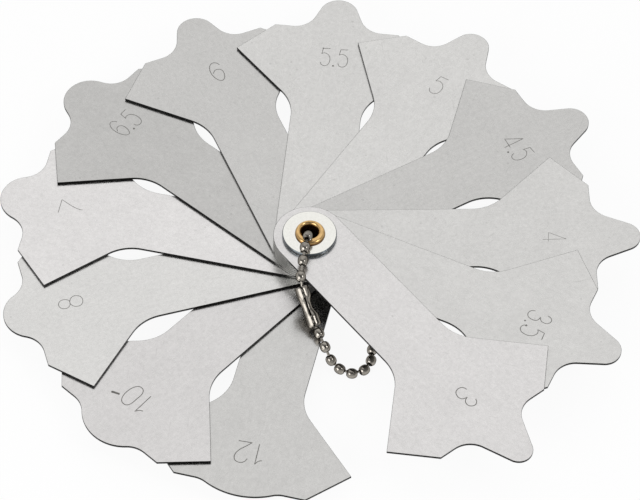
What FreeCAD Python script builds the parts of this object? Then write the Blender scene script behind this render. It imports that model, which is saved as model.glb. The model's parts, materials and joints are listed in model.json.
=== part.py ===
import FreeCAD, Part
import math
import os

# Fillet weld gauge: twelve sheet leaves fanned out on a hollow rivet, with a ball chain through its bore.
# All sizes are in millimetres. The rivet's axis is Z. Z = 0 is the lower rim of the rivet.
# X points to the right of the fan and Y away from the person who holds it.

# Leaves, top of the stack first: name, throat size, direction in the fan in degrees, radius of the lobe
LEAVES = (
    ("3", 3.0, -50.1, 3.3),
    ("3_5", 3.5, -23.2, 4.0),
    ("4", 4.0, 3.2, 3.95),
    ("4_5", 4.5, 31.9, 4.2),
    ("5", 5.0, 58.4, 4.25),
    ("5_5", 5.5, 85.8, 4.7),
    ("6", 6.0, 114.7, 4.7),
    ("6_5", 6.5, 142.1, 6.4),
    ("7", 7.0, 169.6, 6.5),
    ("8", 8.0, 197.9, 6.65),
    ("10", 10.0, 228.8, 9.9),
    ("12", 12.0, 258.1, 16.9),
)
SHEET = 0.6  # thickness of a leaf
LEAF_GAP = 0.09  # free play between two leaves
ARM_WIDTH = 17.3
CORNER_REACH = 80.8  # from the rivet's axis to the corner where the two measuring edges would meet
HEAD_HALF_WIDTH = 23.5
HEAD_SLOPE = 45.0  # of the head's four sides to the leaf's axis, as the head is a square on its corner
HEAD_STEEPNESS = math.tan(math.radians(HEAD_SLOPE))
CORNER_CUT = 15.0  # how much of that corner is cut off, along the leaf's axis
SCALLOP_RADIUS = 5.6  # hollow on each side of the lobe, which clears the weld's toes
FLANK_ANGLE = 22.5  # between a lobe's straight flank and the leaf's axis
NECK_FILLET = 10.0  # where the arm widens into the head

# Hollow rivet and washers
SHANK_RADIUS = 2.5
SHANK_BORE = 2.0
RIM_RADIUS = 3.5
RIM_HEIGHT = 0.9
RIM_FLAT = 0.3  # width of the flat that the press leaves on each rim
RIM_BANDS = 2  # flats in each quarter of a rim's round section
WASHER_RADIUS = 6.3
WASHER_THICKNESS = 1.0
WASHER_CHAMFER = 0.2
TURNING_CLEARANCE = 0.06  # between the rivet's shank and what turns on it

# Ball chain
BEAD_RADIUS = 1.2
BEAD_LENGTH = 2.5
BEAD_END_RADIUS = 0.68
BEAD_BELLY = 1.05  # length of the straight belly
BEAD_SIDES = 12  # flats round a bead, which keep a shape that is repeated light
PIN_RADIUS = 0.33
PIN_SIDES = 6
PIN_DEPTH = 0.5  # how far a pin's head reaches into its bead
PIN_CLEARANCE = 0.05
OPEN_LINK_GAP = 0.2  # where the loop is opened, the pin stops this far short of its bead
BEAD_PITCH = 3.9  # most that two beads are apart along the hidden stretches
RESTING_GAP = 0.05  # between the chain and what it lies on
RIVET_LIFT = 0.3  # between the beads under the stack and the rivet's lower rim

# Sleeve that joins the chain's ends
COUPLING_LENGTH = 9.5
COUPLING_END_RADIUS = 1.6
COUPLING_WAIST_RADIUS = 1.2
COUPLING_WALL = 0.2
COUPLING_CUP = 3.0  # length of each flared end, which holds a bead
COUPLING_WAIST = 1.6  # length of the straight waist
COUPLING_LIP = 0.1  # how far each end is drawn in
COUPLING_MOUTH = 1.05  # radius of the hole in each end
COUPLING_SIDES = 16
COUPLING_SLIT = 0.5
COUPLING_SLIT_SIDE = 133.0  # where the slit faces, in degrees round the sleeve

# Levels of the stack
LEVEL = SHEET + LEAF_GAP
LEAF_LOW = RIM_HEIGHT + WASHER_THICKNESS + LEAF_GAP
LOWEST_LEAF_TOP = LEAF_LOW + SHEET
STACK_TOP = LEAF_LOW + (len(LEAVES) - 1) * LEVEL + SHEET
WASHER_TOP = STACK_TOP + LEAF_GAP + WASHER_THICKNESS
RIM_TOP = WASHER_TOP + RIM_HEIGHT
TABLE = -(2 * BEAD_RADIUS + RIVET_LIFT)
ON_TABLE = TABLE + BEAD_RADIUS

# Where the chain lies on the top leaf: each bead's place in plan and the height of its middle
TOP_LEAF_DIRECTION = LEAVES[0][2]
LOW_LEAF_DIRECTION = LEAVES[-1][2]
ON_RIM = (-0.36, -2.66, RIM_TOP + BEAD_RADIUS + 0.13)
FRONT_RUN = (
    (-0.93, -5.24, WASHER_TOP + BEAD_RADIUS + 0.15),
    (-1.30, -8.65, STACK_TOP + BEAD_RADIUS + 0.6),
    (-1.66, -12.66, STACK_TOP + BEAD_RADIUS - 0.1),
)
# The sleeve hangs from beside the top leaf's arm down to the lowest leaf
HEAD_ALONG = 10.0  # of the sleeve's head, along the top leaf's arm
HEAD_CLEAR = 0.17  # between the sleeve and that arm
HEAD_BELOW_TOP = 0.55  # of the same head, under the stack's top
SLEEVE_DIRECTION = -62.8
# The loop, bead by bead from the sleeve: how far past its foot, measured along the lowest leaf's arm, how far beyond
# that arm's edge, and the height of the bead's middle
LOOP_RUN = (
    (1.72, -0.96, LOWEST_LEAF_TOP + BEAD_RADIUS + 3 * RESTING_GAP),
    (4.69, 1.15, LOWEST_LEAF_TOP + BEAD_RADIUS - 0.4),
    (6.00, 2.96, ON_TABLE + 2.1),
    (6.85, 5.23, ON_TABLE + 0.55),
    (7.00, 8.12, ON_TABLE),
    (5.35, 10.64, ON_TABLE),
    (2.40, 11.55, ON_TABLE),
    (-0.58, 11.12, ON_TABLE),
)
# The stretch that the leaves hide, from the loop's last bead in a smooth curve back to the rivet's lower mouth
HIDDEN_RUN = ((16.2, -12.0), (13.3, -1.0), (5.5, 7.2), (-2.6, 6.4), (-2.3, 0.6))
MOUTH_LEVEL = 0.9  # of the lowest bead in the bore, which is on the rivet's axis
BORE_TOP = (-0.1, -0.6)  # place of the highest bead in the bore
BORE_TOP_DEPTH = 2.0  # of its middle under the upper rim


def vector(x, y, z=0.0):
    return FreeCAD.Vector(x, y, z)


def polar(radius, degrees, z=0.0):
    return vector(radius * math.cos(math.radians(degrees)), radius * math.sin(math.radians(degrees)), z)


def line(start, end):
    return Part.LineSegment(start, end).toShape()


def arc(start, middle, end):
    return Part.Arc(start, middle, end).toShape()


def mirrored(point):
    return vector(point.x, -point.y, point.z)


def mirror_edges(edges):
    """The same edges on the other side of the leaf's axis."""
    return [edge.mirror(vector(0, 0, 0), vector(0, 1, 0)) for edge in edges]


def head_corner():
    """Where a measuring edge ends, at the head's side."""
    return vector(CORNER_REACH - HEAD_HALF_WIDTH / HEAD_STEEPNESS, HEAD_HALF_WIDTH)


def neck_edges():
    """One side of the arm, the fillet at its neck and the flare to the head's side corner."""
    half = ARM_WIDTH / 2
    corner = head_corner()
    neck = vector(corner.x - (HEAD_HALF_WIDTH - half) / HEAD_STEEPNESS, half)
    tangent = NECK_FILLET * math.tan(math.radians(HEAD_SLOPE / 2))
    start = neck - vector(tangent, 0)
    end = neck + polar(tangent, HEAD_SLOPE)
    centre = start + vector(0, NECK_FILLET)
    middle = centre + polar(NECK_FILLET, HEAD_SLOPE / 2 - 90)
    return [line(vector(0, half), start), arc(start, middle, end), line(end, corner)]


def lobe_points(size, lobe_radius):
    """Centre of the scallop, and the points where it meets the flank and the flank meets the lobe."""
    cut = CORNER_REACH - CORNER_CUT
    lobe = vector(CORNER_REACH - size - lobe_radius, 0)
    flank = math.radians(FLANK_ANGLE)
    outward = vector(math.sin(flank), math.cos(flank))
    backward = vector(-math.cos(flank), math.sin(flank))
    leave = lobe + outward * lobe_radius
    straight = (cut + SCALLOP_RADIUS - leave.x - outward.x * SCALLOP_RADIUS) / backward.x
    if straight > 0:
        scallop = leave + backward * straight + outward * SCALLOP_RADIUS
        return scallop, scallop - outward * SCALLOP_RADIUS, leave
    reach = SCALLOP_RADIUS + lobe_radius
    along = cut + SCALLOP_RADIUS - lobe.x
    scallop = vector(cut + SCALLOP_RADIUS, math.sqrt(reach**2 - along**2))
    meet = lobe + (scallop - lobe) * (lobe_radius / reach)
    return scallop, meet, meet


def head_edges(size, lobe_radius):
    """One side of the head: measuring edge, cut corner, scallop and flank."""
    cut = CORNER_REACH - CORNER_CUT
    scallop, meet, leave = lobe_points(size, lobe_radius)
    edge_end = vector(cut, CORNER_CUT * HEAD_STEEPNESS)
    start = vector(cut, scallop.y)
    bulge = (start - scallop + meet - scallop).normalize()
    edges = [line(head_corner(), edge_end), line(edge_end, start)]
    edges.append(arc(start, scallop + bulge * SCALLOP_RADIUS, meet))
    if meet.distanceToPoint(leave) > 1e-6:
        edges.append(line(meet, leave))
    return edges


def leaf_outline(size, lobe_radius):
    """Closed outline of a leaf with its pivot at the origin and its axis along X."""
    half = ARM_WIDTH / 2
    side = neck_edges() + head_edges(size, lobe_radius)
    leave = lobe_points(size, lobe_radius)[2]
    tip = vector(CORNER_REACH - size, 0)
    pivot_end = arc(vector(0, -half), vector(-half, 0), vector(0, half))
    edges = side + mirror_edges(side) + [arc(leave, tip, mirrored(leave)), pivot_end]
    return Part.Wire(Part.__sortEdges__(edges))


def leaf(size, direction, lobe_radius, level):
    """One gauge leaf, cut from sheet, at its level of the stack and its place in the fan."""
    hole = Part.Wire(Part.Circle(vector(0, 0), vector(0, 0, 1), SHANK_RADIUS + TURNING_CLEARANCE).toShape())
    solid = facing_out(Part.Face([leaf_outline(size, lobe_radius), hole]).extrude(vector(0, 0, SHEET)))
    solid.rotate(vector(0, 0), vector(0, 0, 1), direction)
    solid.translate(vector(0, 0, LEAF_LOW + level * LEVEL))
    return solid


def facing_out(solid):
    """The solid with its faces turned outwards."""
    if solid.Volume < 0:
        solid.reverse()
    return solid


def turned(points):
    """A solid turned about Z from a closed outline of (radius, height) points."""
    section = facet([vector(radius, 0, height) for radius, height in points])
    return facing_out(section.revolve(vector(0, 0), vector(0, 0, 1), 360))


def washer(leaf_side, rim_side):
    """Flat washer, with its outer edge broken on the side of the rivet's rim."""
    inner = SHANK_RADIUS + TURNING_CLEARANCE
    edge = math.copysign(WASHER_CHAMFER, rim_side - leaf_side)
    outline = (
        (inner, leaf_side),
        (WASHER_RADIUS, leaf_side),
        (WASHER_RADIUS, rim_side - edge),
        (WASHER_RADIUS - WASHER_CHAMFER, rim_side),
        (inner, rim_side),
    )
    return turned(outline)


def rim_points(seat, crest):
    """Section of a rolled rim: up its outer round, across its flat and down its inner round to the bore."""
    middle = (RIM_RADIUS + SHANK_BORE) / 2
    points = []
    for edge, steps in ((RIM_RADIUS, range(RIM_BANDS + 1)), (SHANK_BORE, range(RIM_BANDS, -1, -1))):
        flat = middle + math.copysign(RIM_FLAT / 2, edge - middle)
        for step in steps:
            turn = math.pi / 2 * step / RIM_BANDS
            points.append((flat + (edge - flat) * math.cos(turn), seat + (crest - seat) * math.sin(turn)))
    return points


def eyelet():
    """Hollow rivet: a thin shank with a rim rolled over the washer at each end."""
    shank = [(SHANK_RADIUS, RIM_HEIGHT), (SHANK_RADIUS, WASHER_TOP)]
    top = rim_points(WASHER_TOP, RIM_TOP)
    bottom = rim_points(RIM_HEIGHT, 0.0)
    return turned(shank + top + bottom[::-1])


def ring(radius, sides, height):
    """Corners of a regular outline round Z at a height."""
    return [polar(radius, 360 * i / sides, height) for i in range(sides)]


def facet(corners):
    return Part.Face(Part.makePolygon(corners + corners[:1]))


def banded(levels, sides):
    """A solid of flat facets through (radius, height) rings, lowest first."""
    rings = [ring(radius, sides, height) for radius, height in levels]
    faces = [facet(rings[0]), facet(rings[-1])]
    for low, high in zip(rings, rings[1:]):
        for i in range(sides):
            faces.append(facet([low[i - 1], low[i], high[i], high[i - 1]]))
    return facing_out(Part.makeSolid(Part.makeShell(faces)))


def aligned(solid, start, direction):
    """Turn a solid that stands on the origin so that its Z axis points along a direction, and place it."""
    turn = FreeCAD.Rotation(vector(0, 0, 1), direction)
    solid.Placement = FreeCAD.Placement(start, turn)
    return solid


def unit(start, end):
    return (end - start).normalize()


def wire(radius, link, start, end):
    """Straight wire with flat sides, from start past the link's first bead to end short of its second."""
    first, second = link
    way = unit(first, second)
    length = first.distanceToPoint(second) - start - end
    return aligned(banded([(radius, 0), (radius, length)], PIN_SIDES), first + way * start, way)


def pin(link, open_start=False, open_end=False):
    """The wire between two beads, with its heads inside them, or short of one where the loop is opened."""
    inside = BEAD_LENGTH / 2 - PIN_DEPTH
    outside = BEAD_LENGTH / 2 + OPEN_LINK_GAP
    return wire(PIN_RADIUS, link, outside if open_start else inside, outside if open_end else inside)


def bead(centre, axis, links):
    """One bead on its axis, with a hole for the pin of each of its links."""
    ends = ((BEAD_END_RADIUS, BEAD_LENGTH / 2), (BEAD_RADIUS, BEAD_BELLY / 2))
    levels = [(radius, -height) for radius, height in ends] + list(reversed(ends))
    solid = aligned(banded(levels, BEAD_SIDES), centre, axis)
    floor = BEAD_LENGTH / 2 - PIN_DEPTH - PIN_CLEARANCE
    for link in links:
        solid = solid.cut(wire(PIN_RADIUS + PIN_CLEARANCE, link, floor, floor))
    return solid


def bead_axis(centre, links):
    """The way a bead lies: half way between its links, and level where it rests on the table."""
    axis = vector(0, 0)
    for link in links:
        axis += unit(*link)
    resting = abs(centre.z - ON_TABLE) < 1e-6
    return vector(axis.x, axis.y) if resting else axis


def coupling(head, foot):
    """Waisted sleeve, open along one side, that closes the chain."""
    waist = (COUPLING_LENGTH - COUPLING_WAIST) / 2
    cavity = COUPLING_END_RADIUS - COUPLING_WALL
    outer = [
        (COUPLING_END_RADIUS - COUPLING_LIP, 0.0),
        (COUPLING_END_RADIUS, 5 * COUPLING_LIP),
        (COUPLING_END_RADIUS, COUPLING_CUP - COUPLING_WALL),
        (COUPLING_WAIST_RADIUS, waist),
    ]
    inner = [
        (COUPLING_MOUTH, -COUPLING_WALL),
        (COUPLING_MOUTH, COUPLING_WALL),
        (cavity, COUPLING_WALL + COUPLING_LIP),
        (cavity, COUPLING_CUP),
        (COUPLING_WAIST_RADIUS - COUPLING_WALL, waist),
    ]
    walls = []
    for levels in (outer, inner):
        far = [(radius, COUPLING_LENGTH - height) for radius, height in reversed(levels)]
        walls.append(banded(levels + far, COUPLING_SIDES))
    slit = Part.makeBox(3 * COUPLING_END_RADIUS, COUPLING_SLIT, 2 * COUPLING_LENGTH)
    slit.translate(vector(0, -COUPLING_SLIT / 2, -COUPLING_LENGTH / 2))
    slit.rotate(vector(0, 0), vector(0, 0, 1), COUPLING_SLIT_SIDE)
    return aligned(walls[0].cut(walls[1]).cut(slit), head, foot - head)


def beside(direction, side, distance, clear):
    """A place in plan beside an arm: how far along its axis, and how far beyond one of its edges."""
    return polar(distance, direction) + polar(ARM_WIDTH / 2 + clear, direction + 90 * side)


def sleeve_ends():
    """Both ends of the sleeve's axis: it leans beside the top leaf's arm, with its foot on the lowest leaf."""
    head = beside(TOP_LEAF_DIRECTION, -1, HEAD_ALONG, COUPLING_END_RADIUS + HEAD_CLEAR)
    head.z = STACK_TOP - HEAD_BELOW_TOP
    drop = head.z - (LOWEST_LEAF_TOP + COUPLING_END_RADIUS - 2 * RESTING_GAP)
    reach = math.sqrt(COUPLING_LENGTH**2 - drop**2)
    return head, head + polar(reach, SLEEVE_DIRECTION, -drop)


def loop_run(foot):
    """Beads of the loop in front, from the sleeve's foot round to where the leaves hide it."""
    foot_along = foot.dot(polar(1, LOW_LEAF_DIRECTION))
    points = []
    for past, beyond, level in LOOP_RUN:
        point = beside(LOW_LEAF_DIRECTION, 1, foot_along + past, beyond)
        points.append(vector(point.x, point.y, level))
    return points


def hidden_run(start):
    """Evenly spaced beads along the stretch under the leaves, after the loop's last bead."""
    curve = Part.BSplineCurve()
    curve.interpolate([start] + [vector(x, y, ON_TABLE) for x, y in HIDDEN_RUN])
    count = math.ceil(curve.length() / BEAD_PITCH) + 1
    return curve.discretize(Number=count)[1:]


def bore_run():
    """Beads up the bore. The two lowest are on the rivet's axis, and the rest lean towards its rim."""
    high = vector(*BORE_TOP, RIM_TOP - BORE_TOP_DEPTH)
    rises = math.ceil((high.z - MOUTH_LEVEL) / BEAD_PITCH)
    points = [vector(0, 0, MOUTH_LEVEL)]
    for i in range(rises):
        lean = i / (rises - 1)
        level = MOUTH_LEVEL + (high.z - MOUTH_LEVEL) * (i + 1) / rises
        points.append(vector(high.x * lean, high.y * lean, level))
    return points


def chain():
    """Every piece of the chain by node name: beads, pins and the sleeve."""
    head, foot = sleeve_ends()
    way = unit(head, foot)
    inset = COUPLING_WALL + COUPLING_LIP + PIN_CLEARANCE + BEAD_LENGTH / 2
    table = loop_run(foot)
    table += hidden_run(table[-1])
    bore = bore_run()
    front = [vector(*place) for place in (ON_RIM,) + FRONT_RUN]
    run = [foot - way * inset] + table + bore + front + [head + way * inset]
    links = list(zip(run, run[1:]))
    pieces = {"chain_coupling": coupling(head, foot)}
    for i, centre in enumerate(run):
        own = links[max(i - 1, 0) : i + 1]
        axis = bead_axis(centre, own) if 0 < i < len(links) else way
        pieces[f"chain_bead_{i + 1:02d}"] = bead(centre, axis, own)
    mouth = 1 + len(table)
    rim = mouth + len(bore)
    opened = [pin(links[0], open_end=True), pin(links[rim], open_start=True)]
    groups = {
        "loop": [pin(link) for link in links[1:mouth]],
        "bore": [pin(link) for link in links[mouth:rim]],
        "front": opened + [pin(link) for link in links[rim + 1 :]],
    }
    for name, pins in groups.items():
        pieces["chain_pins_" + name] = Part.makeCompound(pins)
    return pieces


def gauge():
    """Every node of the gauge by name."""
    pieces = {}
    for level, (name, size, direction, lobe_radius) in enumerate(reversed(LEAVES)):
        pieces["leaf_" + name] = leaf(size, direction, lobe_radius, level)
    pieces["washer_bottom"] = washer(RIM_HEIGHT + WASHER_THICKNESS, RIM_HEIGHT)
    pieces["washer_top"] = washer(WASHER_TOP - WASHER_THICKNESS, WASHER_TOP)
    pieces["eyelet"] = eyelet()
    pieces.update(chain())
    return pieces


def main():
    os.makedirs("parts", exist_ok=True)
    for name, shape in gauge().items():
        shape.exportStep(f"parts/{name}.step")
        print(name, len(shape.Solids), round(shape.Volume, 3), shape.isValid())


main()
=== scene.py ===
"""Fillet weld gauge: a fan of engraved sheet leaves on a hollow rivet, with a ball chain through its bore."""

import json
import math

import bpy
import numpy as np
from mathutils import Matrix, Vector


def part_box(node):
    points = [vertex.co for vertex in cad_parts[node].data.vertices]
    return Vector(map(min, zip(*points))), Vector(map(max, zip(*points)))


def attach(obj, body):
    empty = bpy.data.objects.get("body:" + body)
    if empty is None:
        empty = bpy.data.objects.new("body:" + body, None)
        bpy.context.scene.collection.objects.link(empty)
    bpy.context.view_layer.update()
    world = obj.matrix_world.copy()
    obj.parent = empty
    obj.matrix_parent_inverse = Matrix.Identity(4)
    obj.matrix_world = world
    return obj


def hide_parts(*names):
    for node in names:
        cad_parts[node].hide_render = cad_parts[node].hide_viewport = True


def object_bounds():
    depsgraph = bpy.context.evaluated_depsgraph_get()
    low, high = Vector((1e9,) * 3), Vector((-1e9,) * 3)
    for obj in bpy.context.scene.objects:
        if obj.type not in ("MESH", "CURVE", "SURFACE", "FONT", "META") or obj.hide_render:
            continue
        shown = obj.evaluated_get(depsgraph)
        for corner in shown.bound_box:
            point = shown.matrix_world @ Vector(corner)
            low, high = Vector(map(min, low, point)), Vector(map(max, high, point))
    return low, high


bl_info = {
    "name": "Fillet Weld Gauge",
    "version": (1, 0, 0),
    "blender": (4, 5, 0),
    "location": "View3D > Sidebar > Weld Gauge",
    "description": "Builds a fan of weld gauge leaves on a hollow rivet, with its ball chain and a photo studio",
    "category": "Add Mesh",
}

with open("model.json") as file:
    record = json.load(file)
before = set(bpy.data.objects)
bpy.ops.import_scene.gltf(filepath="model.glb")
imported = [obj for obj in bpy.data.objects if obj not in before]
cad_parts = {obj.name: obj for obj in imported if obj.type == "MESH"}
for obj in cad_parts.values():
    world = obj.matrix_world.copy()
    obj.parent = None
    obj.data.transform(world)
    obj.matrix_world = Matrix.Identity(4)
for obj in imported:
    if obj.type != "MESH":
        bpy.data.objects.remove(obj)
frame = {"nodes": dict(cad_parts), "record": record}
CAD_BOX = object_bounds()
MM = 0.001

# Leaves, top of the stack first: node, engraved size, direction in the fan in degrees, radius of the lobe in mm,
# and the tone of the leaf's sheet, which holds painted light and shade: each leaf is lighter or darker as its tilt
# meets the light
LEAVES = (
    ("leaf_3", "3", -50.1, 3.3, "#DBD9D8"),
    ("leaf_3_5", "3.5", -23.2, 4.0, "#D3D2D0"),
    ("leaf_4", "4", 3.2, 3.95, "#D2D1CF"),
    ("leaf_4_5", "4.5", 31.9, 4.2, "#C7C6C4"),
    ("leaf_5", "5", 58.4, 4.25, "#D5D4D2"),
    ("leaf_5_5", "5.5", 85.8, 4.7, "#D3D2D0"),
    ("leaf_6", "6", 114.7, 4.7, "#C8C7C5"),
    ("leaf_6_5", "6.5", 142.1, 6.4, "#C1C0BE"),
    ("leaf_7", "7", 169.6, 6.5, "#E0DEDD"),
    ("leaf_8", "8", 197.9, 6.65, "#DAD9D7"),
    ("leaf_10", "10", 228.8, 9.9, "#D6D4D3"),
    ("leaf_12", "12", 258.1, 16.9, "#CCCBC9"),
)

# How much further back than the engraved size the photo shows the tip of a lobe, in mm
LOBE_SET_BACK = {"leaf_8": 0.25, "leaf_10": 0.45, "leaf_12": 0.55}

# Radii of the rivet's shank and of the hole that turns on it
SHANK_RADIUS = 2.5 * MM
HOLE_RADIUS = 2.56 * MM

# The photograph's camera: its focal length and the frame's width in pixels, and where the pivot lies off the
# middle of the view
FOCAL_PIXELS = 3405.5
FRAME_PIXELS = 640
SENSOR_WIDTH = 36
PIVOT_OFF_MIDDLE = (-2.575 * MM, -1.187 * MM)

# Tint of what the nickel mirrors at a grazing angle: a painted reflection that darkens the rims, as if a dark room
# stood round the chain
BEAD_PAINTED_RIM_SHADE = "#2A2826"
SLEEVE_PAINTED_RIM_SHADE = "#4A4744"

# Single strokes of the engraved figures, as points that a smooth line passes near. Each figure is then fitted to
# its own box. A point given twice is a sharp corner.
STROKES = {
    "0": (
        (0.0, 0.5), (0.0, 0.88), (0.28, 1.05), (0.74, 1.0), (1.0, 0.72), (1.0, 0.28), (0.74, -0.02), (0.28, -0.05),
        (0.0, 0.14), (0.0, 0.5),
    ),
    "1": ((0.0, 0.76), (0.51, 0.82), (0.85, 1.0), (0.85, 1.0), (1.0, 0.0)),
    "2": (
        (0.0, 0.78), (0.17, 0.98), (0.55, 1.04), (0.92, 0.95), (1.0, 0.71), (0.80, 0.45), (0.38, 0.23),
        (0.0, 0.0), (0.0, 0.0), (1.0, 0.03),
    ),
    "3": (
        (0.03, 0.80), (0.18, 0.98), (0.52, 1.04), (0.88, 0.92), (0.93, 0.75), (0.80, 0.60), (0.46, 0.53),
        (0.46, 0.53), (0.90, 0.49), (1.05, 0.30), (0.92, 0.05), (0.50, -0.04), (0.12, 0.04), (0.0, 0.22),
    ),
    "4": ((0.78, 0.0), (0.73, 1.0), (0.73, 1.0), (0.0, 0.27), (0.0, 0.27), (1.0, 0.235)),
    "5": (
        (0.91, 1.0), (0.15, 0.98), (0.15, 0.98), (0.04, 0.66), (0.04, 0.66), (0.34, 0.75), (0.82, 0.64),
        (1.05, 0.40), (0.92, 0.08), (0.52, -0.03), (0.14, 0.02), (0.0, 0.18),
    ),
    "6": (
        (0.99, 0.82), (0.86, 0.96), (0.52, 1.03), (0.20, 0.94), (0.0, 0.72), (-0.03, 0.47), (0.08, 0.24),
        (0.30, 0.04), (0.60, -0.04), (0.90, 0.07), (1.04, 0.33), (0.98, 0.53), (0.67, 0.63), (0.36, 0.60),
        (0.14, 0.46),
    ),
    "7": ((0.0, 0.985), (0.98, 1.0), (0.98, 1.0), (0.66, 0.54), (0.50, 0.19), (0.50, 0.0)),
    "8": (
        (0.66, 0.49), (0.90, 0.69), (0.86, 0.92), (0.46, 1.04), (0.08, 0.93), (0.0, 0.71), (0.22, 0.54),
        (0.55, 0.53), (0.98, 0.42), (1.05, 0.18), (0.80, -0.01), (0.34, -0.03), (0.0, 0.12), (0.0, 0.36),
        (0.28, 0.52), (0.66, 0.53),
    ),
}
# Each leaf's engraving: the strokes' width, and every figure with its left, foot, width and height, all in mm.
# The left is measured from the leaf's axis and the foot from the rivet.
FIGURES = {
    "leaf_3": (0.29, (("3", -1.25, 53.96, 2.9, 5.67),)),
    "leaf_3_5": (0.25, (("3", -3.21, 53.96, 2.58, 5.67), ("5", 1.33, 53.96, 2.54, 5.63))),
    "leaf_4": (0.13, (("4", -1.17, 54.0, 2.59, 5.5),)),
    "leaf_4_5": (0.22, (("4", -3.33, 54.08, 2.79, 5.33), ("5", 1.42, 54.0, 2.33, 5.5))),
    "leaf_5": (0.19, (("5", -1.58, 53.96, 2.7, 5.67),)),
    "leaf_5_5": (0.22, (("5", -3.0, 54.08, 2.25, 5.54), ("5", 1.25, 54.12, 2.29, 5.54))),
    "leaf_6": (0.25, (("6", -1.5, 53.83, 2.92, 5.87),)),
    "leaf_6_5": (0.22, (("6", -3.12, 54.2, 2.5, 5.63), ("5", 1.33, 54.2, 2.42, 5.63))),
    "leaf_7": (0.19, (("7", -2.42, 54.08, 3.92, 5.42),)),
    "leaf_8": (0.21, (("8", -0.92, 53.92, 3.08, 5.7),)),
    "leaf_10": (0.29, (("1", -3.17, 54.0, 1.54, 5.42), ("0", 0.17, 53.8, 3.04, 5.9))),
    "leaf_12": (0.29, (("1", -3.25, 54.0, 1.54, 5.42), ("2", 0.0, 54.0, 3.08, 5.75))),
}
# Decimal points, two blots where the tool dwelt, and the dash after the 10: both ends of each and its width
MARKS = {
    "leaf_3_5": ((0.12, 54.12, 0.48, 54.14, 0.4), (1.36, 54.7, 1.56, 55.1, 0.5)),
    "leaf_4_5": ((0.22, 54.12, 0.64, 54.12, 0.45),),
    "leaf_5_5": ((-0.05, 54.25, 0.39, 54.27, 0.44), (-2.82, 59.45, -2.6, 59.62, 0.48)),
    "leaf_6_5": ((0.16, 54.4, 0.59, 54.42, 0.44),),
    "leaf_10": ((3.9, 58.42, 5.78, 59.2, 0.55),),
}


# Colours and sizes that a user would change

class LeafSettings(bpy.types.PropertyGroup):
    arm_width: bpy.props.FloatProperty(
        name="Arm width", description="Width of the straight arm", default=16.7 * MM, unit="LENGTH")
    corner_reach: bpy.props.FloatProperty(
        name="Corner reach", description="From the rivet to the corner where the measuring edges would meet",
        default=80.8 * MM, unit="LENGTH")
    head_half_width: bpy.props.FloatProperty(
        name="Half head", description="From the leaf's axis to the head's side corner",
        default=23.5 * MM, unit="LENGTH")
    corner_cut: bpy.props.FloatProperty(
        name="Corner cut", description="How much of the measuring corner is cut off", default=15.0 * MM,
        unit="LENGTH")
    scallop_radius: bpy.props.FloatProperty(
        name="Scallop radius", description="Radius of the hollow on each side of the lobe", default=5.6 * MM,
        unit="LENGTH")
    neck_fillet: bpy.props.FloatProperty(
        name="Neck fillet", description="Radius where the arm widens into the head", default=10.0 * MM,
        unit="LENGTH")
    edge_break: bpy.props.FloatProperty(
        name="Broken edge", description="Width of the broken edge all round the sheet", default=0.07 * MM,
        unit="LENGTH")
    edge_depth: bpy.props.FloatProperty(
        name="Edge depth", description="How far the broken edge goes down into the sheet", default=0.04 * MM,
        unit="LENGTH")
    burr_height: bpy.props.FloatProperty(
        name="Burr height", description="Height of the burrs beside an engraved stroke", default=0.012 * MM,
        unit="LENGTH")


class RivetSettings(bpy.types.PropertyGroup):
    bore_radius: bpy.props.FloatProperty(
        name="Bore radius", description="Radius of the hollow rivet's bore", default=2.0 * MM, unit="LENGTH")
    brass: bpy.props.StringProperty(
        name="Brass", description="Colour of the rivet, as a hex value", default="#DDB67C")
    washer: bpy.props.StringProperty(
        name="Washer", description="Colour of the washers, as a hex value", default="#EEEDE7")


class ChainSettings(bpy.types.PropertyGroup):
    bead_radius: bpy.props.FloatProperty(
        name="Bead radius", description="Radius of a chain bead", default=1.2 * MM, unit="LENGTH")
    bead_length: bpy.props.FloatProperty(
        name="Bead length", description="Length of a chain bead", default=2.5 * MM, unit="LENGTH")
    wire_radius: bpy.props.FloatProperty(
        name="Wire radius", description="Radius of the wire between two beads", default=0.32 * MM, unit="LENGTH")
    sleeve_length: bpy.props.FloatProperty(
        name="Sleeve length", description="Length of the coupling sleeve", default=9.5 * MM, unit="LENGTH")
    sleeve_radius: bpy.props.FloatProperty(
        name="Sleeve radius", description="Radius of the coupling sleeve's ends", default=1.6 * MM,
        unit="LENGTH")
    # the chain's colour is darker than bright nickel: painted shade standing in for a dark room mirrored in the
    # chain
    nickel: bpy.props.StringProperty(
        name="Nickel", description="Colour of the chain, as a hex value", default="#9A958D")


class StageSettings(bpy.types.PropertyGroup):
    elevation: bpy.props.FloatProperty(
        name="Elevation", description="How far the camera looks down on the fan", default=math.radians(53.1),
        subtype="ANGLE")
    roll: bpy.props.FloatProperty(
        name="Roll", description="How far the camera is rolled", default=math.radians(-1.96), subtype="ANGLE")
    distance: bpy.props.FloatProperty(
        name="Distance", description="From the camera to the pivot", default=792 * MM, unit="LENGTH")
    right_light: bpy.props.FloatProperty(
        name="Right light", description="Power of the small softbox on the right", default=0.8)
    left_light: bpy.props.FloatProperty(
        name="Left light", description="Power of the large softbox on the left", default=2.4)


class GaugeSettings(bpy.types.PropertyGroup):
    leaf: bpy.props.PointerProperty(type=LeafSettings)
    rivet: bpy.props.PointerProperty(type=RivetSettings)
    chain: bpy.props.PointerProperty(type=ChainSettings)
    stage: bpy.props.PointerProperty(type=StageSettings)


# Surfaces

def grid_faces(rows, columns, close_rows, close_columns):
    """Quads of a rows by columns grid of points, joined from its last row or column to its first if closed."""
    row = np.arange(rows if close_rows else rows - 1)[:, None]
    column = np.arange(columns if close_columns else columns - 1)[None, :]
    next_row = (row + 1) % rows
    next_column = (column + 1) % columns
    corners = (
        row * columns + column,
        row * columns + next_column,
        next_row * columns + next_column,
        next_row * columns + column,
    )
    return np.stack([np.broadcast_to(c, (row.size, column.size)) for c in corners], -1).reshape(-1, 4)


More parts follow.
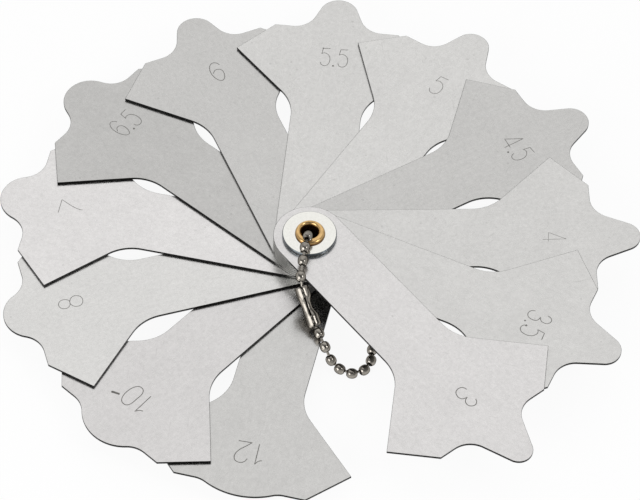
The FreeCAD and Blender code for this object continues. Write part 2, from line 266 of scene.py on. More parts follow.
def make_object(name, points, faces, materials, smooth_below=40.0, material_index=None):
    """A mesh object at the origin from arrays of points and faces, smooth where its faces meet gently."""
    mesh = bpy.data.meshes.new(name)
    mesh.from_pydata(points.tolist(), [], [list(face) for face in faces])
    for material in materials:
        mesh.materials.append(material)
    if material_index is not None:
        mesh.polygons.foreach_set("material_index", np.asarray(material_index, dtype=np.int32))
    mesh.polygons.foreach_set("use_smooth", np.ones(len(mesh.polygons), dtype=bool))
    mesh.set_sharp_from_angle(angle=math.radians(smooth_below))
    mesh.update()
    obj = bpy.data.objects.new(name, mesh)
    bpy.context.scene.collection.objects.link(obj)
    return obj


def turned(profile, steps):
    """Points of a closed (radius, height) outline carried round Z: x = r cos a, y = r sin a, z = height."""
    angle = np.linspace(0, 2 * math.pi, steps, endpoint=False)[:, None]
    radius, height = profile[:, 0][None, :], profile[:, 1][None, :]
    points = np.stack([radius * np.cos(angle), radius * np.sin(angle), height + 0 * angle], -1)
    return points.reshape(-1, 3), grid_faces(steps, len(profile), True, True)


def axis_frame(direction):
    """Rows of a rotation that takes Z to a direction."""
    return np.array(Vector((0, 0, 1)).rotation_difference(Vector(direction)).to_matrix())


def placed(points, centre, direction):
    """Points that were built along Z, turned along a direction and moved to a centre."""
    return points @ axis_frame(direction).T + np.asarray(centre)


def arc(centre, radius, start, end, steps):
    """Points on a circle from one angle to another, in degrees."""
    angle = np.radians(np.linspace(start, end, steps))
    return np.stack([centre[0] + radius * np.cos(angle), centre[1] + radius * np.sin(angle)], -1)


def leaf_outline(leaf, set_back, lobe_radius):
    """Closed outline of a leaf with its axis along X, counter-clockwise from the tip of its lobe.

    One side is the half lobe, its flank, the scallop, the measuring edge, the flare with its neck fillet and
    half of the round pivot end. The other side is its mirror image. The tip is set back from the corner.
    """
    half = leaf.arm_width / 2
    cut = leaf.corner_reach - leaf.corner_cut
    lobe = np.array([leaf.corner_reach - set_back - lobe_radius, 0])
    # a flank leans by 22.5 degrees to the axis, so its normal leans by 67.5
    flank = math.radians(67.5)
    outward = np.array([math.cos(flank), math.sin(flank)])
    leave = lobe + outward * lobe_radius
    scallop_x = cut + leaf.scallop_radius
    straight = (leave[0] + outward[0] * leaf.scallop_radius - scallop_x) / outward[1]
    if straight > 0:
        scallop = leave + outward * leaf.scallop_radius + np.array([-outward[1], outward[0]]) * straight
        lobe_end, scallop_end = 67.5, 247.5
    else:
        reach = leaf.scallop_radius + lobe_radius
        scallop = np.array([scallop_x, math.sqrt(reach**2 - (scallop_x - lobe[0]) ** 2)])
        lobe_end = math.degrees(math.atan2(scallop[1], scallop[0] - lobe[0]))
        scallop_end = lobe_end + 180
    corner = np.array([leaf.corner_reach - leaf.head_half_width, leaf.head_half_width])
    neck = corner[0] - (leaf.head_half_width - half)
    fillet_start = neck - leaf.neck_fillet * math.tan(math.radians(22.5))
    side = np.concatenate([
        arc(lobe, lobe_radius, 0, lobe_end, 24),
        arc(scallop, leaf.scallop_radius, scallop_end, 180, 18),
        [[cut, leaf.corner_cut]],
        [corner],
        arc((fillet_start, half + leaf.neck_fillet), leaf.neck_fillet, -45, -90, 12),
        arc((0, 0), half, 90, 180, 30),
    ])
    side = side[np.r_[True, np.linalg.norm(np.diff(side, axis=0), axis=1) > 1e-7]]
    return np.concatenate([side, (side * (1, -1))[-2:0:-1]])


def inset(outline, distance):
    """The outline moved inwards: each point goes along the mean of its two edges' normals, further at a corner."""
    edge = np.roll(outline, -1, axis=0) - outline
    edge /= np.linalg.norm(edge, axis=1)[:, None]
    normal = np.stack([-edge[:, 1], edge[:, 0]], -1)
    mean = normal + np.roll(normal, 1, axis=0)
    mean /= (mean * np.roll(normal, 1, axis=0)).sum(1)[:, None]
    return outline + mean * distance


def sheet_piece(outline, hole, low, high, edge_break, edge_depth):
    """A plate with an outline, a round hole and broken edges: a stack of outlines, closed by two flat caps.

    Each cap is two faces that meet on the plate's axis, from the lobe to the hole and from the hole to the end.
    """
    rings = []
    wider_hole = hole * (1 + edge_break / np.linalg.norm(hole[0]))
    for loop, broken in ((outline, inset(outline, edge_break)), (hole, wider_hole)):
        levels = ((broken, low), (loop, low + edge_depth), (loop, high - edge_depth), (broken, high))
        rings.append(np.stack([np.c_[ring, np.full(len(ring), level)] for ring, level in levels]))
    outer, inner = rings
    count = len(outline)
    walls = grid_faces(4, count, False, True)
    bore = grid_faces(4, len(hole), False, True)[:, ::-1] + outer.shape[0] * count
    points = np.concatenate([outer.reshape(-1, 3), inner.reshape(-1, 3)])
    half, hole_half = count // 2, len(hole) // 2
    hole_start = 4 * count
    upper = [*range(half + 1), *range(hole_start + hole_half, hole_start - 1, -1)]
    hole_end = hole_start + len(hole)
    lower = [*range(half, count), 0, hole_start, *range(hole_end - 1, hole_start + hole_half - 1, -1)]
    low_caps = [cap[::-1] for cap in (upper, lower)]
    top_caps = [[v + 3 * (count if v < hole_start else len(hole)) for v in cap] for cap in (upper, lower)]
    # the sheared wall, the burrs at its two edges and the back of the sheet each have their own finish; all three
    # are darkened with painted shade
    index = np.repeat([2, 1, 2], count).tolist() + np.repeat([2, 1, 2], len(hole)).tolist() + [0, 0, 3, 3]
    return points, walls.tolist() + bore.tolist() + top_caps + low_caps, index


def turned_about_rivet(points, degrees):
    turn = math.radians(degrees)
    c, s = math.cos(turn), math.sin(turn)
    return points @ np.array([[c, s, 0], [-s, c, 0], [0, 0, 1]])


def smooth_line(points, steps=7):
    """A quadratic B-spline through the middles of the control points' runs, with its two ends held."""
    points = np.asarray(points, dtype=float)
    held = np.concatenate([points[:1], points, points[-1:]])
    a, b, c = held[:-2], held[1:-1], held[2:]
    t = np.linspace(0, 1, steps, endpoint=False)[None, :, None]
    start, end = (a + b) / 2, (b + c) / 2
    curve = (1 - t) ** 2 * start[:, None] + 2 * t * (1 - t) * b[:, None] + t**2 * end[:, None]
    line = np.concatenate([curve.reshape(-1, 2), end[-1:]])
    keep = np.r_[True, np.linalg.norm(np.diff(line, axis=0), axis=1) > 1e-5]
    return line[keep]


def groove(path, width, level, burr, burr_finish):
    """An engraved stroke: a shallow valley between two burrs, carried along its path, dark with painted shade.

    Across the stroke the height is -0.15, 1, 0.3, 1 and -0.15 of the burr's height, so that its outer edges are
    in the sheet. The two outer slopes take the burrs' finish, which is the sheet's, 0, on a fine stroke and the
    groove's painted shade, 1, on a deep mark.
    """
    along = np.gradient(path, axis=0)
    along /= np.linalg.norm(along, axis=1)[:, None]
    side = np.stack([-along[:, 1], along[:, 0]], -1)
    across = np.array([-0.5, -0.34, 0.0, 0.34, 0.5]) * width
    height = level + np.array([-0.15, 1.0, 0.3, 1.0, -0.15]) * burr
    spread = path[:, None] + side[:, None] * across[None, :, None]
    points = np.concatenate([spread, np.broadcast_to(height, spread.shape[:2])[..., None]], -1).reshape(-1, 3)
    faces = grid_faces(len(path), 5, False, False)[:, ::-1]
    index = np.tile([burr_finish, 1, 1, burr_finish], len(path) - 1)
    return points, faces, index


def figure_line(figure, left, foot, width, height):
    """A figure's stroke fitted to its box, with its top towards X, which is outwards on the leaf."""
    line = smooth_line(STROKES[figure])
    low, high = line.min(0), line.max(0)
    fitted = (line - low) / (high - low) * (width, height) + (left, foot)
    return np.stack([fitted[:, 1], -fitted[:, 0]], -1) * MM


def mark_line(start_x, start_y, end_x, end_y):
    """A short straight stroke between two places of a leaf, measured as the figures' are."""
    t = np.linspace(0, 1, 4)[:, None]
    line = np.array([[start_y, -start_x]]) * (1 - t) + np.array([[end_y, -end_x]]) * t
    return line * MM


# Materials

def linear(hex_value):
    """An sRGB hex value as linear RGBA."""
    channels = np.array([int(hex_value[i : i + 2], 16) for i in (1, 3, 5)]) / 255
    low, high = channels / 12.92, ((channels + 0.055) / 1.055) ** 2.4
    return (*np.where(channels <= 0.04045, low, high), 1.0)


def add(tree, kind, inputs=(), **settings):
    """Add a node, set its properties, and give each named or numbered input a value or a link."""
    node = tree.nodes.new(kind)
    for name, value in settings.items():
        setattr(node, name, value)
    for name, value in dict(inputs).items():
        if isinstance(value, bpy.types.NodeSocket):
            tree.links.new(value, node.inputs[name])
        else:
            node.inputs[name].default_value = value
    return node


def new_material(name):
    """An empty node material with its output, and the tree to build in."""
    material = bpy.data.materials.new(name)
    material.use_nodes = True
    tree = material.node_tree
    tree.nodes.clear()
    return material, tree


def finish_material(tree, shader):
    add(tree, "ShaderNodeOutputMaterial", {"Surface": shader.outputs[0]})


def in_millimetres(tree, degrees=0.0, stretch=(1, 1, 1)):
    """Object coordinates in mm, turned so that X runs along a leaf, and stretched."""
    place = add(tree, "ShaderNodeTexCoord").outputs["Object"]
    scale = [1000 * s for s in stretch]
    turned_place = add(
        tree, "ShaderNodeMapping", {"Vector": place, "Rotation": (0, 0, -math.radians(degrees))},
        vector_type="POINT",
    ).outputs[0]
    return add(tree, "ShaderNodeMapping", {"Vector": turned_place, "Scale": scale}).outputs[0]


def noise(tree, place, scale, detail=3.0, roughness=0.5):
    return add(
        tree, "ShaderNodeTexNoise", {"Vector": place, "Scale": scale, "Detail": detail, "Roughness": roughness}
    ).outputs["Fac"]


def remap(tree, value, low, high, to_low, to_high):
    """A value mapped from one range to another, held at both ends."""
    return add(
        tree, "ShaderNodeMapRange",
        {"Value": value, "From Min": low, "From Max": high, "To Min": to_low, "To Max": to_high},
    ).outputs[0]


def times(tree, first, second):
    return add(tree, "ShaderNodeMath", {0: first, 1: second}, operation="MULTIPLY").outputs[0]


def rolled_sheet(name, tone, degrees, rivet_shade=1.0):
    """Rolled aluminium sheet: pale and satin, with mottled grain, faint rolling lines, hair scratches and specks.

    The rivet shade is the share of the tone that is left round the rivet: painted shade between the stacked
    leaves.
    """
    material, tree = new_material(name)
    plain = in_millimetres(tree, degrees)
    # faint clouds of tone about 10 mm across, left by handling
    clouds = remap(tree, noise(tree, plain, 0.1, 4.0, 0.6), 0.3, 0.7, 0.975, 1.02)
    # mottled grain about 1 mm across, with finer grain in it, down to a pixel of the photograph and less
    grain = remap(tree, noise(tree, plain, 1.0, 5.0, 0.85), 0.25, 0.75, 0.88, 1.12)
    # rolling lines 0.4 mm apart that run along the leaf
    lines = remap(
        tree, noise(tree, in_millimetres(tree, degrees, (0.08, 1, 1)), 2.5, 2.0), 0.3, 0.7, 0.985, 1.012)
    # sparse hair scratches, 0.15 mm wide and up to 10 mm long
    scratch_place = in_millimetres(tree, degrees + 38, (0.05, 1, 1))
    scratches = remap(tree, noise(tree, scratch_place, 3.0, 1.0), 0.72, 0.77, 1.0, 0.9)
    # pits and dirt specks up to 0.6 mm wide, some 3 mm apart where they lie close
    spots = add(tree, "ShaderNodeTexVoronoi", {"Vector": plain, "Scale": 0.35}, feature="F1").outputs
    patchy = remap(tree, noise(tree, plain, 0.12), 0.45, 0.65, 0.0, 0.12)
    speck = add(tree, "ShaderNodeMath", {0: spots["Distance"], 1: patchy}, operation="SUBTRACT").outputs[0]
    specks = remap(tree, speck, -0.03, 0.01, 0.88, 1.0)
    shade = times(tree, times(tree, clouds, grain), times(tree, times(tree, lines, scratches), specks))
    if rivet_shade < 1:
        # painted shade between the stacked leaves, full up to 25 mm from the rivet and gone at 45 mm
        distance = add(
            tree, "ShaderNodeVectorMath", {0: in_millimetres(tree, 0, (1, 1, 0))}, operation="LENGTH")
        shade = times(tree, shade, remap(tree, distance.outputs["Value"], 25.0, 45.0, rivet_shade, 1.0))
    base = add(
        tree, "ShaderNodeVectorMath", {0: linear(tone)[:3], "Scale": shade}, operation="SCALE").outputs[0]
    bump = add(tree, "ShaderNodeBump", {"Height": times(tree, grain, lines), "Strength": 0.015, "Distance": MM})
    shader = add(
        tree, "ShaderNodeBsdfPrincipled",
        {
            "Base Color": base,
            "Metallic": 1.0,
            "Roughness": remap(tree, noise(tree, plain, 0.5), 0.3, 0.7, 0.22, 0.3),
            "Normal": bump.outputs[0],
        },
    )
    finish_material(tree, shader)
    return material


def sheared_edge(name, rubbed):
    """Sheared aluminium: the torn wall that the press leaves round a blanked piece, made dark with painted shade.
    """
    material, tree = new_material(name)
    # tear marks 0.2 mm apart across the sheet
    tears = remap(tree, noise(tree, in_millimetres(tree, 0, (1, 1, 0.1)), 5.0, 2.0), 0.3, 0.7, 0.65, 1.25)
    # the round ends, up to 9 mm from the rivet, are rubbed where the leaves turn against each other; the rest of
    # the wall is near black with painted shade
    distance = add(
        tree, "ShaderNodeVectorMath", {0: in_millimetres(tree, 0, (1, 1, 0))}, operation="LENGTH").outputs["Value"]
    wear_and_shade = remap(tree, distance, 8.36, 9.1, rubbed, 0.03)
    base = add(
        tree, "ShaderNodeVectorMath", {0: linear("#D0D0CC")[:3], "Scale": times(tree, tears, wear_and_shade)},
        operation="SCALE").outputs[0]
    shader = add(tree, "ShaderNodeBsdfPrincipled", {"Base Color": base, "Metallic": 1.0, "Roughness": 0.3})
    finish_material(tree, shader)
    return material


def engraved_groove():
    """Cut aluminium in the bottom of an engraved stroke, dull, and dark with painted shade."""
    material, tree = new_material("engraved aluminium groove with painted shade")
    # the tool's pressure varies over about 1.5 mm
    press = remap(tree, noise(tree, in_millimetres(tree), 0.7), 0.3, 0.7, 0.75, 1.35)
    base = add(
        tree, "ShaderNodeVectorMath", {0: linear("#6E6C69")[:3], "Scale": press}, operation="SCALE").outputs[0]
    shader = add(tree, "ShaderNodeBsdfPrincipled", {"Base Color": base, "Metallic": 0.3, "Roughness": 0.7})
    finish_material(tree, shader)
    return material


def plain_metal(name, tone, roughness, grain_scale, spread, painted_rim_shade="#FFFFFF"):
    """A smooth metal whose tone and gloss vary over a grain of the given scale per mm.

    The painted rim shade is the tint of what it mirrors at a grazing angle: a painted reflection that darkens its
    rims.
    """
    material, tree = new_material(name)
    grain = noise(tree, in_millimetres(tree), grain_scale)
    shade = remap(tree, grain, 0.3, 0.7, 1 - spread, 1 + spread)
    base = add(
        tree, "ShaderNodeVectorMath", {0: linear(tone)[:3], "Scale": shade}, operation="SCALE").outputs[0]
    rough = remap(tree, grain, 0.3, 0.7, roughness * 0.85, roughness * 1.15)
    shader = add(
        tree, "ShaderNodeBsdfPrincipled",
        {"Base Color": base, "Metallic": 1.0, "Roughness": rough, "Specular Tint": linear(painted_rim_shade)},
    )
    finish_material(tree, shader)
    return material


def rolled_brass(tone):
    """Rolled brass: bright on the rims' crests, and brown with painted shade at their feet and inside the bore."""
    material, tree = new_material("rolled brass")
    foot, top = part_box("eyelet")[0][2] / MM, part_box("eyelet")[1][2] / MM
    place = in_millimetres(tree)
    height = add(tree, "ShaderNodeSeparateXYZ", {0: place}).outputs["Z"]
    above_middle = add(tree, "ShaderNodeMath", {0: height, 1: (foot + top) / 2}, operation="SUBTRACT").outputs[0]
    reach = add(tree, "ShaderNodeMath", {0: above_middle}, operation="ABSOLUTE").outputs[0]
    # the painted shade starts 0.1 mm below each rim's crest and covers all from 0.75 mm on
    crest = (top - foot) / 2
    unshaded = remap(tree, reach, crest - 0.75, crest - 0.1, 0.0, 1.0)
    # handling has left the rim cloudy, in patches about 1 mm across
    cloudy = remap(tree, noise(tree, place, 1.0), 0.3, 0.7, 0.8, 1.15)
    bright = add(
        tree, "ShaderNodeVectorMath", {0: linear(tone)[:3], "Scale": cloudy}, operation="SCALE").outputs[0]
    bore_and_foot_shade = linear("#5A3714")[:3]
    base = add(
        tree, "ShaderNodeMix", {0: unshaded, 4: bore_and_foot_shade, 5: bright}, data_type="VECTOR").outputs[1]
    rough = remap(tree, unshaded, 0.0, 1.0, 0.45, 0.18)
    finish_material(
        tree, add(tree, "ShaderNodeBsdfPrincipled", {"Base Color": base, "Metallic": 1.0, "Roughness": rough}))
    return material


# Where the chain lies, read from the frame

def node_middle(name):
    low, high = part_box(name)
    return (np.array(low) + np.array(high)) / 2


def chain_route():
    """Names and middles of all beads, in order along the chain."""
    names = sorted(name for name in frame["nodes"] if name.startswith("chain_bead_"))
    return names, np.array([node_middle(name) for name in names])


def rides_on(node):
    """The body that a node belongs to, from the record."""
    for body, nodes in frame["record"]["behaviour"]["bodies"].items():
        if node in nodes:
            return body
    raise RuntimeError(f"{node} belongs to no body")


# Operators

class GAUGE_OT_leaves(bpy.types.Operator):
    """Build the twelve sheet leaves in their fan"""
    bl_idname = "gauge.leaves"
    bl_label = "Leaves"

    def execute(self, context):
        leaf = context.scene.weld_gauge.leaf
        # the walls are near black with painted shade but for their rubbed round ends; the burrs are partly dark
        # burr and partly a painted shadow line along each edge
        wall = sheared_edge("sheared aluminium edge with painted shade", 0.9)
        burr = sheared_edge("aluminium burr with painted shadow line", 0.03)
        # the back is a darker tone with more painted shade round the rivet, which darkens the gaps between the
        # leaves where it is mirrored
        back = rolled_sheet("aluminium back with painted shade", "#8E8E8C", 0, 0.2)
        hole = arc((0, 0), HOLE_RADIUS, 0, 360, 49)[:-1]
        for node, text, direction, lobe_radius, tone in LEAVES:
            low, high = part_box(node)
            set_back = (float(text) + LOBE_SET_BACK.get(node, 0)) * MM
            outline = leaf_outline(leaf, set_back, lobe_radius * MM)
            points, faces, index = sheet_piece(outline, hole, low[2], high[2], leaf.edge_break, leaf.edge_depth)
            sheet = rolled_sheet(f"rolled aluminium sheet {text}", tone, direction)
            obj = make_object(
                "gauge_" + node, turned_about_rivet(points, direction), faces, [sheet, wall, burr, back], 20,
                index)
            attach(obj, rides_on(node))
            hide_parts(node)
        return {"FINISHED"}


class GAUGE_OT_figures(bpy.types.Operator):
    """Engrave each leaf's size in single strokes"""
    bl_idname = "gauge.figures"
    bl_label = "Engraved sizes"

    def execute(self, context):
        leaf = context.scene.weld_gauge.leaf
        dark = engraved_groove()
        for node, text, direction, *_ in LEAVES:
            width, figures = FIGURES[node]
            lines = [(figure_line(*figure), width, 0) for figure in figures]
            lines += [(mark_line(*mark[:4]), mark[4], 1) for mark in MARKS.get(node, ())]
            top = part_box(node)[1][2]
            strokes = [groove(line, wide * MM, top, leaf.burr_height, finish) for line, wide, finish in lines]
            starts = np.cumsum([0] + [len(stroke[0]) for stroke in strokes])
            points = np.concatenate([stroke[0] for stroke in strokes])
            faces = np.concatenate([stroke[1] + start for stroke, start in zip(strokes, starts)])
            index = np.concatenate([stroke[2] for stroke in strokes])
            sheet = bpy.data.materials[f"rolled aluminium sheet {text}"]
            obj = make_object(
                "engraved_" + node, turned_about_rivet(points, direction), faces.tolist(), [sheet, dark], 60,
                index)
            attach(obj, rides_on(node))
        return {"FINISHED"}


class GAUGE_OT_rivet(bpy.types.Operator):
    """Build the hollow rivet and its two washers"""
    bl_idname = "gauge.rivet"
    bl_label = "Rivet and washers"

    def execute(self, context):
        rivet = context.scene.weld_gauge.rivet
        bright = plain_metal("polished aluminium washer", rivet.washer, 0.16, 1.5, 0.03)
        # the edge's dark blue grey tone is painted shade on the washer's outer wall
        edge = plain_metal("turned washer edge with painted shade", "#6A7074", 0.25, 1.5, 0.1)
        brass = rolled_brass(rivet.brass)
        for node in ("washer_top", "washer_bottom"):
            low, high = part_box(node)
            profile = rounded_washer(high[0], HOLE_RADIUS, low[2], high[2], 0.28 * MM)
            # the outer wall and most of its two rounded corners have the edge's finish, dark with painted shade
            index = np.tile(np.repeat([0, 1, 0], [3, 11, 4]), 96)
            self.place(node, turned(profile, 96), [bright, edge], "washer", index)
        points, faces = turned(rolled_rivet(rivet.bore_radius), 96)
        self.place("eyelet", (rolled_aside(points), faces), [brass], "eyelet")
        return {"FINISHED"}

    def place(self, node, shape, materials, slot, index=None):
        obj = make_object("bright_" + node, *shape, materials, 50, index)
        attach(obj, rides_on(node))
        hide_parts(node)


def rounded_washer(outer, inner, low, high, corner):
    """Closed section of a washer, with its two outer corners rounded, counter-clockwise."""
    return np.concatenate([
        [[inner, low]],
        arc((outer - corner, low + corner), corner, -90, 0, 8),
        arc((outer - corner, high - corner), corner, 0, 90, 8),
        [[inner, high]],
    ])


def rolled_rivet(bore):
    """Closed section of the rivet: a thin shank with a rim rolled over each washer.

    Each rim is half an ellipse from its outer seat over its crest and into the bore, like a small funnel.
    """
    low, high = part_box("eyelet")
    rim = high[0]
    top_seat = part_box("washer_top")[1][2]
    bottom_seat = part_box("washer_bottom")[0][2]
    middle, wide = (rim + bore) / 2, (rim - bore) / 2
    turn = np.linspace(0, math.pi, 22)[:, None]
    top = np.c_[middle + wide * np.cos(turn), top_seat + (high[2] - top_seat) * np.sin(turn)]
    bottom = np.c_[middle - wide * np.cos(turn), bottom_seat + (low[2] - bottom_seat) * np.sin(turn)]
    return np.concatenate([[[SHANK_RADIUS, bottom_seat], [SHANK_RADIUS, top_seat]], top, bottom])


def rolled_aside(points):
    """The rivet's points with its upper rim rolled 0.3 mm to one side, as a press leaves it.

    The foot of the rim moves the whole way and its inside not at all. The share in between is
    (r - shank) / (foot - shank), held between 0 and 1.
    """
    aside = np.array([0.13, -0.3]) * MM
    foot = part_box("eyelet")[1][0]
    share = np.clip((np.linalg.norm(points[:, :2], axis=1) - SHANK_RADIUS) / (foot - SHANK_RADIUS), 0, 1)
    share[points[:, 2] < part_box("washer_top")[1][2] - 0.01 * MM] = 0
    moved = points.copy()
    moved[:, :2] += share[:, None] * aside
    return moved


class GAUGE_OT_beads(bpy.types.Operator):
    """Build the chain's hollow beads"""
    bl_idname = "gauge.beads"
    bl_label = "Beads"

    def execute(self, context):
        chain = context.scene.weld_gauge.chain
        nickel = plain_metal("nickel plated steel bead", chain.nickel, 0.12, 0.9, 0.25, BEAD_PAINTED_RIM_SHADE)
        names, middles = chain_route()
        coupling = middles[0] - middles[-1]
        ways = np.diff(middles, axis=0)
        ways /= np.linalg.norm(ways, axis=1)[:, None]
        axes = np.concatenate([[coupling], ways[1:] + ways[:-1], [coupling]])
        profile = bead_profile(chain.bead_radius, chain.bead_length, chain.wire_radius)
        points, faces = turned(profile, 28)
        # the last face of the barrel at both ends, the end and the hole are dark with painted shade, in the
        # creases where the beads meet the wire
        index = np.tile([1, *[0] * 12, 1, 1, 1, 1], 28)
        end_shade = plain_metal("nickel bead end with painted shade", "#4A4641", 0.3, 2.0, 0.2, "#6A6762")
        for name, middle, axis in zip(names, middles, axes):
            obj = make_object(
                "hollow_" + name, placed(points, middle, axis), faces, [nickel, end_shade], 40, index)
            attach(obj, rides_on(name))
            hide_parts(name)
        return {"FINISHED"}


def bead_profile(radius, length, wire):
    """Closed section of a hollow bead: a rounded barrel outside, and a small hole right through it.

    The barrel is a super-ellipse of power 2.3, (r/R)^2.3 + (z/H)^2.3 = 1, cut off 68 degrees from its middle.
    """
    power = 2 / 2.3
    cut_off = math.radians(68)
    turn = np.linspace(-cut_off, cut_off, 15)
    half = length / 2 / math.sin(cut_off) ** power
    barrel = np.stack([
        radius * np.cos(turn) ** power,
        half * np.sign(turn) * np.abs(np.sin(turn)) ** power,
    ], -1)
    hole = wire * 1.35
    return np.concatenate([barrel, [[hole, length / 2 * 0.97], [hole, -length / 2 * 0.97]]])


class GAUGE_OT_wires(bpy.types.Operator):
    """Build the wire links between the beads"""
    bl_idname = "gauge.wires"
    bl_label = "Wire links"

    def execute(self, context):
        chain = context.scene.weld_gauge.chain
        nickel = plain_metal("drawn nickel plated wire", chain.nickel, 0.22, 2.0, 0.05)
        names, middles = chain_route()
        groups = {"chain_pins_loop": [], "chain_pins_bore": [], "chain_pins_front": []}
        bodies = {rides_on(node): node for node in groups}
        for i in range(len(names) - 1):
            first, second = rides_on(names[i]), rides_on(names[i + 1])
            owner = first if first == second else self.owner(first, second)
            groups[bodies[owner]].append((middles[i], middles[i + 1]))
        for node, links in groups.items():
            wires = [self.wire(a, b, chain) for a, b in links]
            count = len(wires[0][0])
            points = np.concatenate([w[0] for w in wires])
            faces = [[v + count * i for v in face] for i, w in enumerate(wires) for face in w[1]]
            obj = make_object("drawn_" + node, points, faces, [nickel], 50)
            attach(obj, rides_on(node))
            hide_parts(node)
        return {"FINISHED"}

    def owner(self, first, second):
        """Where the loop is opened, the wire stays with the front; in the bore it stays with the rivet."""
        return "chain_front" if "chain_front" in (first, second) else "rivet"

    def wire(self, first, second, chain):
        """A round wire from inside one bead to inside the next, with flat ends."""
        way = (second - first) / np.linalg.norm(second - first)
        inside = chain.bead_length / 2 * 0.75
        start, end = first + way * inside, second - way * inside
        length = np.linalg.norm(end - start)
        sides = 12
        ring = arc((0, 0), chain.wire_radius, 0, 360, sides + 1)[:-1]
        points = np.concatenate([np.c_[ring, np.zeros(sides)], np.c_[ring, np.full(sides, length)]])
        faces = grid_faces(2, sides, False, True).tolist()
        faces += [list(range(sides))[::-1], list(range(sides, 2 * sides))]
        return placed(points, start, way), faces


class GAUGE_OT_sleeve(bpy.types.Operator):
    """Build the waisted coupling sleeve"""
    bl_idname = "gauge.sleeve"
    bl_label = "Coupling sleeve"

    def execute(self, context):
        chain = context.scene.weld_gauge.chain
        nickel = plain_metal("nickel plated sleeve", chain.nickel, 0.22, 0.5, 0.12, SLEEVE_PAINTED_RIM_SHADE)
        middles = chain_route()[1]
        way = middles[0] - middles[-1]
        way /= np.linalg.norm(way)
        middle = (middles[0] + middles[-1]) / 2
        points, faces = sleeve_shape(chain.sleeve_length, chain.sleeve_radius)
        obj = make_object("pressed_chain_coupling", placed(points, middle, way), faces, [nickel], 50)
        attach(obj, rides_on("chain_coupling"))
        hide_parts("chain_coupling")
        return {"FINISHED"}


def sleeve_shape(length, radius):
    """Sleeve of sheet rolled round Z and open along a slit. Its section is carried round from lip to lip.

    The radius is R at the cups and falls by a cosine step to the waist, by 0.1 R on the side left of the slit and
    by 0.42 R on the side right of it. Each end is drawn in, and its mouth is a hole through a thin end wall.
    """
    wall = 0.2 * MM
    mouth = 1.05 * MM
    facing = math.radians(133)
    slit = 0.25 * MM / radius
    steps, levels = 73, 61
    # the inner wall stops a little short of both end walls
    inside = slice(levels - 4, 2, -1)
    angle = np.linspace(facing + slit, facing + 2 * math.pi - slit, steps)[:, None]
    z = np.linspace(-1, 1, levels)[None, :]
    waist = np.clip((np.abs(z) - 0.1) / 0.45, 0, 1)
    pinch = 0.26 - 0.16 * np.sin(angle - facing)
    outer = radius * (1 - pinch * (0.5 + 0.5 * np.cos(math.pi * waist)))
    outer = outer - 0.1 * MM * np.clip((np.abs(z) - 0.9) / 0.1, 0, 1) ** 2
    height = z * length / 2 + 0 * angle
    inner = (outer - wall)[:, inside]
    ends = np.broadcast_to([[mouth, mouth]], (steps, 2))
    r = np.concatenate([outer, ends, inner, ends], axis=1)
    top, low = length / 2, -length / 2
    far = np.broadcast_to([[top, top - wall]], (steps, 2))
    near = np.broadcast_to([[low + wall, low]], (steps, 2))
    h = np.concatenate([height, far, height[:, inside], near], axis=1)
    points = np.stack([r * np.cos(angle), r * np.sin(angle), h], -1).reshape(-1, 3)
    count = r.shape[1]
    faces = grid_faces(steps, count, False, True).tolist()
    faces.append(list(range(count))[::-1])
    faces.append([(steps - 1) * count + i for i in range(count)])
    return points, faces


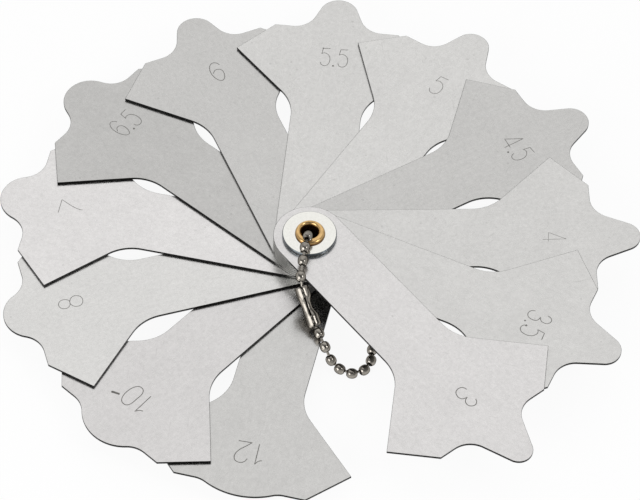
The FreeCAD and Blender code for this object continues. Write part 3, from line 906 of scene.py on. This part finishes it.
class GAUGE_OT_stage(bpy.types.Operator):
    """Set up the floor, the soft lights and the camera"""
    bl_idname = "gauge.stage"
    bl_label = "Stage"

    def execute(self, context):
        stage = context.scene.weld_gauge.stage
        context.scene.view_settings.view_transform = "Standard"
        self.floor()
        self.sky(context)
        self.lamp(context, "right softbox", (0.5, -0.24, 0.58), 0.22, stage.right_light)
        self.lamp(context, "left softbox", (-0.44, -0.5, 0.34), 0.55, stage.left_light)
        self.camera(context, stage)
        return {"FINISHED"}

    def floor(self):
        """A wide plain floor under the lowest bead."""
        level = CAD_BOX[0][2]
        side = 3.0
        corners = np.array([(x * side, y * side, level) for x, y in ((-1, -1), (1, -1), (1, 1), (-1, 1))])
        material, tree = new_material("matt white paper")
        paper = add(tree, "ShaderNodeBsdfDiffuse", {"Color": linear("#FFFFFF")})
        white = add(tree, "ShaderNodeEmission", {"Color": (1, 1, 1, 1), "Strength": 1.0})
        ray = add(tree, "ShaderNodeLightPath").outputs
        seen = add(
            tree, "ShaderNodeMath", {0: ray["Is Camera Ray"], 1: ray["Is Glossy Ray"]}, operation="MAXIMUM")
        share = times(tree, seen.outputs[0], 0.93)
        # a little of the paper stays in the camera's view, and brings the object's shadow with it
        mixed = add(tree, "ShaderNodeMixShader", {0: share, 1: paper.outputs[0], 2: white.outputs[0]})
        finish_material(tree, mixed)
        obj = make_object("floor", corners, [[0, 1, 2, 3]], [material])

    def sky(self, context):
        """One large soft light over and behind the fan, and a pale band low down all round the room.

        The light fades from full at 28 degrees off its middle to a dim room at 55 degrees. The band is bright
        up to an elevation of 31 degrees and fades to the dim room at 43 degrees.
        """
        world = bpy.data.worlds.new("studio")
        context.scene.world = world
        world.use_nodes = True
        tree = world.node_tree
        tree.nodes.clear()
        way = add(tree, "ShaderNodeTexCoord").outputs["Generated"]
        behind = add(tree, "ShaderNodeVectorMath", {0: way, 1: (0, 0.6, 0.8)}, operation="DOT_PRODUCT")
        soft_light = remap(tree, behind.outputs["Value"], 0.58, 0.88, 0.18, 1.0)
        height = add(tree, "ShaderNodeSeparateXYZ", {0: way}).outputs["Z"]
        band = remap(tree, height, 0.52, 0.68, 0.7, 0.18)
        glow = add(tree, "ShaderNodeMath", {0: soft_light, 1: band}, operation="MAXIMUM").outputs[0]
        background = add(tree, "ShaderNodeBackground", {"Color": (1, 1, 1, 1), "Strength": glow})
        add(tree, "ShaderNodeOutputWorld", {"Surface": background.outputs[0]})

    def lamp(self, context, name, place, size, power):
        light = bpy.data.lights.new(name, "AREA")
        light.size = size
        light.energy = power
        obj = bpy.data.objects.new(name, light)
        obj.location = place
        obj.rotation_euler = (-Vector(place)).to_track_quat("-Z", "Y").to_euler()
        context.scene.collection.objects.link(obj)

    def camera(self, context, stage):
        """The photograph's camera: it looks along Y and down, rolled a little, with the pivot off its middle."""
        pivot = Vector((0, 0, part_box("leaf_12")[1][2]))
        e, roll = stage.elevation, stage.roll
        right = Vector((1, 0, 0))
        up = Vector((0, math.sin(e), math.cos(e)))
        forward = Vector((0, math.cos(e), -math.sin(e)))
        camera_x = right * math.cos(roll) - up * math.sin(roll)
        camera_y = right * math.sin(roll) + up * math.cos(roll)
        off_x, off_y = PIVOT_OFF_MIDDLE
        place = pivot - camera_x * off_x - camera_y * off_y - forward * stage.distance
        data = bpy.data.cameras.new("camera")
        data.sensor_width = SENSOR_WIDTH
        data.lens = SENSOR_WIDTH * FOCAL_PIXELS / FRAME_PIXELS
        data.clip_end = 20
        obj = bpy.data.objects.new("camera", data)
        axes = Matrix((camera_x, camera_y, -forward)).transposed().to_4x4()
        obj.matrix_world = Matrix.Translation(place) @ axes
        context.scene.collection.objects.link(obj)
        context.scene.camera = obj


OPERATORS = (
    GAUGE_OT_leaves, GAUGE_OT_figures, GAUGE_OT_rivet, GAUGE_OT_beads, GAUGE_OT_wires, GAUGE_OT_sleeve,
    GAUGE_OT_stage,
)


class GAUGE_PT_panel(bpy.types.Panel):
    """Lists the gauge's builders"""
    bl_label = "Weld Gauge"
    bl_idname = "GAUGE_PT_panel"
    bl_space_type = "VIEW_3D"
    bl_region_type = "UI"
    bl_category = "Weld Gauge"

    def draw(self, context):
        for operator in OPERATORS:
            self.layout.operator(operator.bl_idname)


CLASSES = (LeafSettings, RivetSettings, ChainSettings, StageSettings, GaugeSettings, *OPERATORS, GAUGE_PT_panel)


def register():
    for each in CLASSES:
        bpy.utils.register_class(each)
    bpy.types.Scene.weld_gauge = bpy.props.PointerProperty(type=GaugeSettings)


def unregister():
    del bpy.types.Scene.weld_gauge
    for each in reversed(CLASSES):
        bpy.utils.unregister_class(each)


def main():
    register()
    for operator in OPERATORS:
        group, name = operator.bl_idname.split(".")
        getattr(getattr(bpy.ops, group), name)()


if __name__ == "__main__":
    main()
